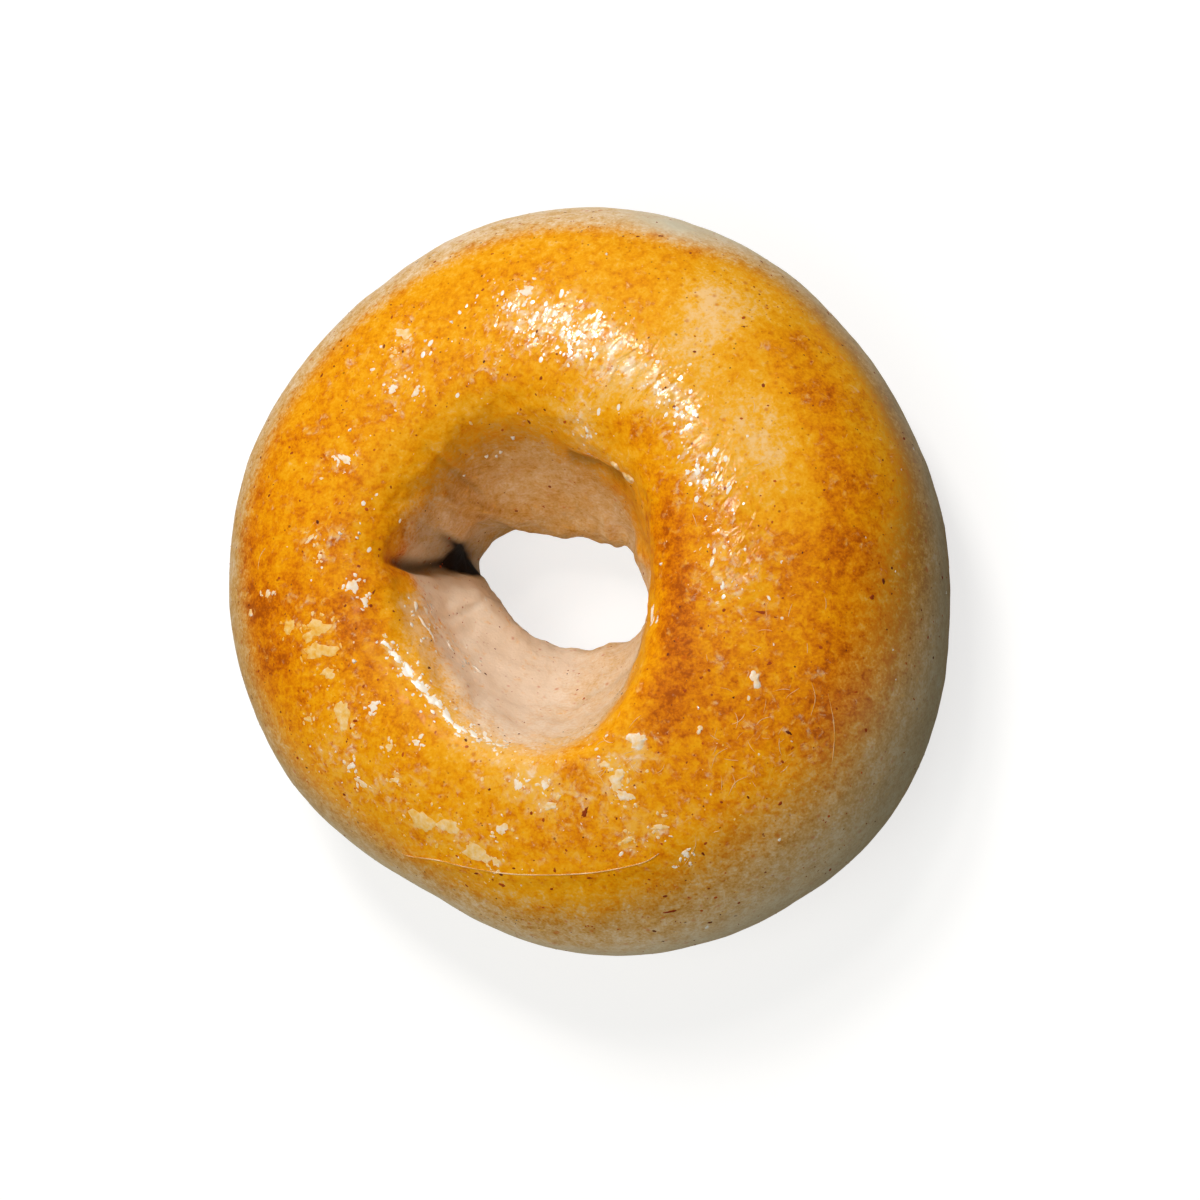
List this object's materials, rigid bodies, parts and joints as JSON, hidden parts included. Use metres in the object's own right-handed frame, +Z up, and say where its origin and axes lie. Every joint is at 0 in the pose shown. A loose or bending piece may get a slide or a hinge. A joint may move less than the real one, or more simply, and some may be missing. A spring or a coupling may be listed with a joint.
{
  "type": "bagel",
  "caption": "Plump plain bagel with a glossy golden crust, paler sides and a lopsided funnel-shaped hole with a pointed corner.",
  "frame": {"origin": "middle of the bounding box's underside, on the surface that the bagel rests on", "axes": "+Z up through the hole, +X to the right and +Y to the far side, with the hole's pointed corner towards -X"},
  "size_m": [0.1124, 0.1148, 0.0423],
  "materials": {
    "crust": "glossy baked crust, golden on top and pale on the sides"
  },
  "bodies": {
    "root": {"bagel": "crust"}
  },
  "joints": []
}
